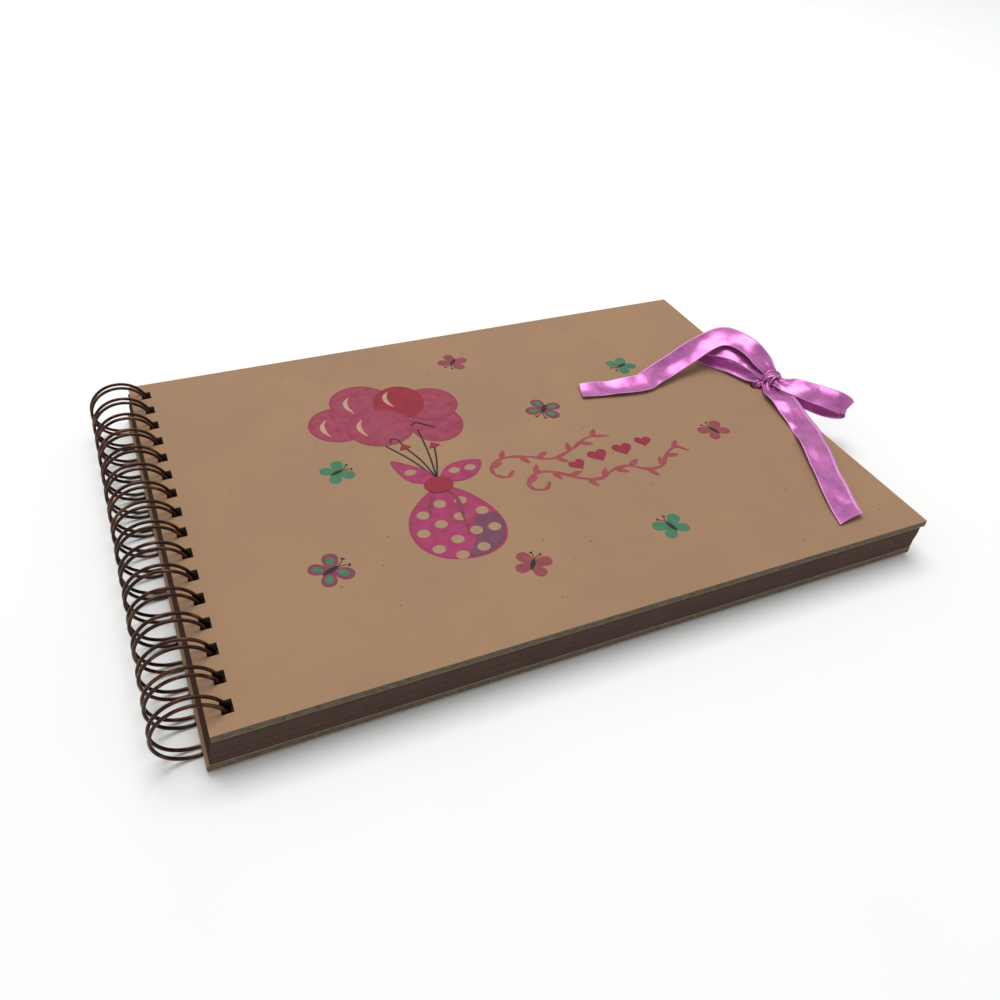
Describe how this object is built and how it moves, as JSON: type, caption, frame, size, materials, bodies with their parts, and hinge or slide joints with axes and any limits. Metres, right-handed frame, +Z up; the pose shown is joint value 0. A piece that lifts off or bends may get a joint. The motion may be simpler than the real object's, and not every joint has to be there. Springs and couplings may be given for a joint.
{
  "type": "scrapbook album",
  "caption": "Landscape scrapbook album: kraft-covered board covers and brown card leaves on a twin-loop wire spine, tied with a satin ribbon bow.",
  "frame": {"origin": "on the surface the closed album lies on, under the middle of the back cover", "axes": "+X from the wire spine to the fore-edge, +Y along the spine away from the reader, +Z up through the front cover"},
  "size_m": [0.3425, 0.21, 0.035],
  "materials": {
    "kraft_paper": "matt kraft paper with fine dark fibre flecks",
    "grey_board": "cut edge of olive-grey book board",
    "brown_card": "matt chocolate-brown card",
    "bronze_wire": "glossy dark bronze enamel on steel wire",
    "pink_satin": "satin ribbon with woven edges"
  },
  "bodies": {
    "back_cover": {"back_cover_board": "grey_board", "back_cover_inner_liner": "kraft_paper", "back_cover_outer_liner": "kraft_paper", "wire_binding": "bronze_wire", "ribbon_back_strap": "pink_satin"},
    "front_cover": {"front_cover_board": "grey_board", "front_cover_inner_liner": "kraft_paper", "front_cover_outer_liner": "kraft_paper", "ribbon_front_strap": "pink_satin", "ribbon_knot": "pink_satin", "ribbon_far_loop": "pink_satin", "ribbon_near_loop": "pink_satin", "ribbon_far_tail": "pink_satin", "ribbon_near_tail": "pink_satin"},
    "leaf_01": {"leaf_01": "brown_card"},
    "leaf_02": {"leaf_02": "brown_card"},
    "leaf_03": {"leaf_03": "brown_card"},
    "leaf_04": {"leaf_04": "brown_card"},
    "leaf_05": {"leaf_05": "brown_card"},
    "leaf_06": {"leaf_06": "brown_card"},
    "leaf_07": {"leaf_07": "brown_card"},
    "leaf_08": {"leaf_08": "brown_card"},
    "leaf_09": {"leaf_09": "brown_card"},
    "leaf_10": {"leaf_10": "brown_card"},
    "leaf_11": {"leaf_11": "brown_card"},
    "leaf_12": {"leaf_12": "brown_card"},
    "leaf_13": {"leaf_13": "brown_card"},
    "leaf_14": {"leaf_14": "brown_card"},
    "leaf_15": {"leaf_15": "brown_card"},
    "leaf_16": {"leaf_16": "brown_card"},
    "leaf_17": {"leaf_17": "brown_card"},
    "leaf_18": {"leaf_18": "brown_card"},
    "leaf_19": {"leaf_19": "brown_card"},
    "leaf_20": {"leaf_20": "brown_card"},
    "leaf_21": {"leaf_21": "brown_card"},
    "leaf_22": {"leaf_22": "brown_card"},
    "leaf_23": {"leaf_23": "brown_card"},
    "leaf_24": {"leaf_24": "brown_card"},
    "leaf_25": {"leaf_25": "brown_card"},
    "leaf_26": {"leaf_26": "brown_card"},
    "leaf_27": {"leaf_27": "brown_card"},
    "leaf_28": {"leaf_28": "brown_card"},
    "leaf_29": {"leaf_29": "brown_card"},
    "leaf_30": {"leaf_30": "brown_card"}
  },
  "joints": [
    {"name": "front_cover_turn", "type": "hinge", "parent": "back_cover", "child": "front_cover", "pos_m": [-0.15042, 0, 0.01325], "axis": [0, -1, 0], "range_deg": [0, 180]},
    {"name": "leaf_01_turn", "type": "hinge", "parent": "back_cover", "child": "leaf_01", "pos_m": [-0.15042, 0, 0.01325], "axis": [0, -1, 0], "range_deg": [0, 180]},
    {"name": "leaf_02_turn", "type": "hinge", "parent": "back_cover", "child": "leaf_02", "pos_m": [-0.15042, 0, 0.01325], "axis": [0, -1, 0], "range_deg": [0, 180]},
    {"name": "leaf_03_turn", "type": "hinge", "parent": "back_cover", "child": "leaf_03", "pos_m": [-0.15042, 0, 0.01325], "axis": [0, -1, 0], "range_deg": [0, 180]},
    {"name": "leaf_04_turn", "type": "hinge", "parent": "back_cover", "child": "leaf_04", "pos_m": [-0.15042, 0, 0.01325], "axis": [0, -1, 0], "range_deg": [0, 180]},
    {"name": "leaf_05_turn", "type": "hinge", "parent": "back_cover", "child": "leaf_05", "pos_m": [-0.15042, 0, 0.01325], "axis": [0, -1, 0], "range_deg": [0, 180]},
    {"name": "leaf_06_turn", "type": "hinge", "parent": "back_cover", "child": "leaf_06", "pos_m": [-0.15042, 0, 0.01325], "axis": [0, -1, 0], "range_deg": [0, 180]},
    {"name": "leaf_07_turn", "type": "hinge", "parent": "back_cover", "child": "leaf_07", "pos_m": [-0.15042, 0, 0.01325], "axis": [0, -1, 0], "range_deg": [0, 180]},
    {"name": "leaf_08_turn", "type": "hinge", "parent": "back_cover", "child": "leaf_08", "pos_m": [-0.15042, 0, 0.01325], "axis": [0, -1, 0], "range_deg": [0, 180]},
    {"name": "leaf_09_turn", "type": "hinge", "parent": "back_cover", "child": "leaf_09", "pos_m": [-0.15042, 0, 0.01325], "axis": [0, -1, 0], "range_deg": [0, 180]},
    {"name": "leaf_10_turn", "type": "hinge", "parent": "back_cover", "child": "leaf_10", "pos_m": [-0.15042, 0, 0.01325], "axis": [0, -1, 0], "range_deg": [0, 180]},
    {"name": "leaf_11_turn", "type": "hinge", "parent": "back_cover", "child": "leaf_11", "pos_m": [-0.15042, 0, 0.01325], "axis": [0, -1, 0], "range_deg": [0, 180]},
    {"name": "leaf_12_turn", "type": "hinge", "parent": "back_cover", "child": "leaf_12", "pos_m": [-0.15042, 0, 0.01325], "axis": [0, -1, 0], "range_deg": [0, 180]},
    {"name": "leaf_13_turn", "type": "hinge", "parent": "back_cover", "child": "leaf_13", "pos_m": [-0.15042, 0, 0.01325], "axis": [0, -1, 0], "range_deg": [0, 180]},
    {"name": "leaf_14_turn", "type": "hinge", "parent": "back_cover", "child": "leaf_14", "pos_m": [-0.15042, 0, 0.01325], "axis": [0, -1, 0], "range_deg": [0, 180]},
    {"name": "leaf_15_turn", "type": "hinge", "parent": "back_cover", "child": "leaf_15", "pos_m": [-0.15042, 0, 0.01325], "axis": [0, -1, 0], "range_deg": [0, 180]},
    {"name": "leaf_16_turn", "type": "hinge", "parent": "back_cover", "child": "leaf_16", "pos_m": [-0.15042, 0, 0.01325], "axis": [0, -1, 0], "range_deg": [0, 180]},
    {"name": "leaf_17_turn", "type": "hinge", "parent": "back_cover", "child": "leaf_17", "pos_m": [-0.15042, 0, 0.01325], "axis": [0, -1, 0], "range_deg": [0, 180]},
    {"name": "leaf_18_turn", "type": "hinge", "parent": "back_cover", "child": "leaf_18", "pos_m": [-0.15042, 0, 0.01325], "axis": [0, -1, 0], "range_deg": [0, 180]},
    {"name": "leaf_19_turn", "type": "hinge", "parent": "back_cover", "child": "leaf_19", "pos_m": [-0.15042, 0, 0.01325], "axis": [0, -1, 0], "range_deg": [0, 180]},
    {"name": "leaf_20_turn", "type": "hinge", "parent": "back_cover", "child": "leaf_20", "pos_m": [-0.15042, 0, 0.01325], "axis": [0, -1, 0], "range_deg": [0, 180]},
    {"name": "leaf_21_turn", "type": "hinge", "parent": "back_cover", "child": "leaf_21", "pos_m": [-0.15042, 0, 0.01325], "axis": [0, -1, 0], "range_deg": [0, 180]},
    {"name": "leaf_22_turn", "type": "hinge", "parent": "back_cover", "child": "leaf_22", "pos_m": [-0.15042, 0, 0.01325], "axis": [0, -1, 0], "range_deg": [0, 180]},
    {"name": "leaf_23_turn", "type": "hinge", "parent": "back_cover", "child": "leaf_23", "pos_m": [-0.15042, 0, 0.01325], "axis": [0, -1, 0], "range_deg": [0, 180]},
    {"name": "leaf_24_turn", "type": "hinge", "parent": "back_cover", "child": "leaf_24", "pos_m": [-0.15042, 0, 0.01325], "axis": [0, -1, 0], "range_deg": [0, 180]},
    {"name": "leaf_25_turn", "type": "hinge", "parent": "back_cover", "child": "leaf_25", "pos_m": [-0.15042, 0, 0.01325], "axis": [0, -1, 0], "range_deg": [0, 180]},
    {"name": "leaf_26_turn", "type": "hinge", "parent": "back_cover", "child": "leaf_26", "pos_m": [-0.15042, 0, 0.01325], "axis": [0, -1, 0], "range_deg": [0, 180]},
    {"name": "leaf_27_turn", "type": "hinge", "parent": "back_cover", "child": "leaf_27", "pos_m": [-0.15042, 0, 0.01325], "axis": [0, -1, 0], "range_deg": [0, 180]},
    {"name": "leaf_28_turn", "type": "hinge", "parent": "back_cover", "child": "leaf_28", "pos_m": [-0.15042, 0, 0.01325], "axis": [0, -1, 0], "range_deg": [0, 180]},
    {"name": "leaf_29_turn", "type": "hinge", "parent": "back_cover", "child": "leaf_29", "pos_m": [-0.15042, 0, 0.01325], "axis": [0, -1, 0], "range_deg": [0, 180]},
    {"name": "leaf_30_turn", "type": "hinge", "parent": "back_cover", "child": "leaf_30", "pos_m": [-0.15042, 0, 0.01325], "axis": [0, -1, 0], "range_deg": [0, 180]}
  ],
  "couplings": [
    {"joint": "leaf_01_turn", "follows": "front_cover_turn", "ratio": 0.99863},
    {"joint": "leaf_02_turn", "follows": "front_cover_turn", "ratio": 0.99784},
    {"joint": "leaf_03_turn", "follows": "front_cover_turn", "ratio": 0.9966},
    {"joint": "leaf_04_turn", "follows": "front_cover_turn", "ratio": 0.99466},
    {"joint": "leaf_05_turn", "follows": "front_cover_turn", "ratio": 0.99161},
    {"joint": "leaf_06_turn", "follows": "front_cover_turn", "ratio": 0.98685},
    {"joint": "leaf_07_turn", "follows": "front_cover_turn", "ratio": 0.97944},
    {"joint": "leaf_08_turn", "follows": "front_cover_turn", "ratio": 0.96799},
    {"joint": "leaf_09_turn", "follows": "front_cover_turn", "ratio": 0.95048},
    {"joint": "leaf_10_turn", "follows": "front_cover_turn", "ratio": 0.92414},
    {"joint": "leaf_11_turn", "follows": "front_cover_turn", "ratio": 0.88549},
    {"joint": "leaf_12_turn", "follows": "front_cover_turn", "ratio": 0.83074},
    {"joint": "leaf_13_turn", "follows": "front_cover_turn", "ratio": 0.75701},
    {"joint": "leaf_14_turn", "follows": "front_cover_turn", "ratio": 0.66414},
    {"joint": "leaf_15_turn", "follows": "front_cover_turn", "ratio": 0.55657},
    {"joint": "leaf_16_turn", "follows": "front_cover_turn", "ratio": 0.44343},
    {"joint": "leaf_17_turn", "follows": "front_cover_turn", "ratio": 0.33586},
    {"joint": "leaf_18_turn", "follows": "front_cover_turn", "ratio": 0.24299},
    {"joint": "leaf_19_turn", "follows": "front_cover_turn", "ratio": 0.16926},
    {"joint": "leaf_20_turn", "follows": "front_cover_turn", "ratio": 0.11451},
    {"joint": "leaf_21_turn", "follows": "front_cover_turn", "ratio": 0.07586},
    {"joint": "leaf_22_turn", "follows": "front_cover_turn", "ratio": 0.04952},
    {"joint": "leaf_23_turn", "follows": "front_cover_turn", "ratio": 0.03201},
    {"joint": "leaf_24_turn", "follows": "front_cover_turn", "ratio": 0.02056},
    {"joint": "leaf_25_turn", "follows": "front_cover_turn", "ratio": 0.01315},
    {"joint": "leaf_26_turn", "follows": "front_cover_turn", "ratio": 0.00839},
    {"joint": "leaf_27_turn", "follows": "front_cover_turn", "ratio": 0.00534},
    {"joint": "leaf_28_turn", "follows": "front_cover_turn", "ratio": 0.0034},
    {"joint": "leaf_29_turn", "follows": "front_cover_turn", "ratio": 0.00216},
    {"joint": "leaf_30_turn", "follows": "front_cover_turn", "ratio": 0.00137}
  ]
}
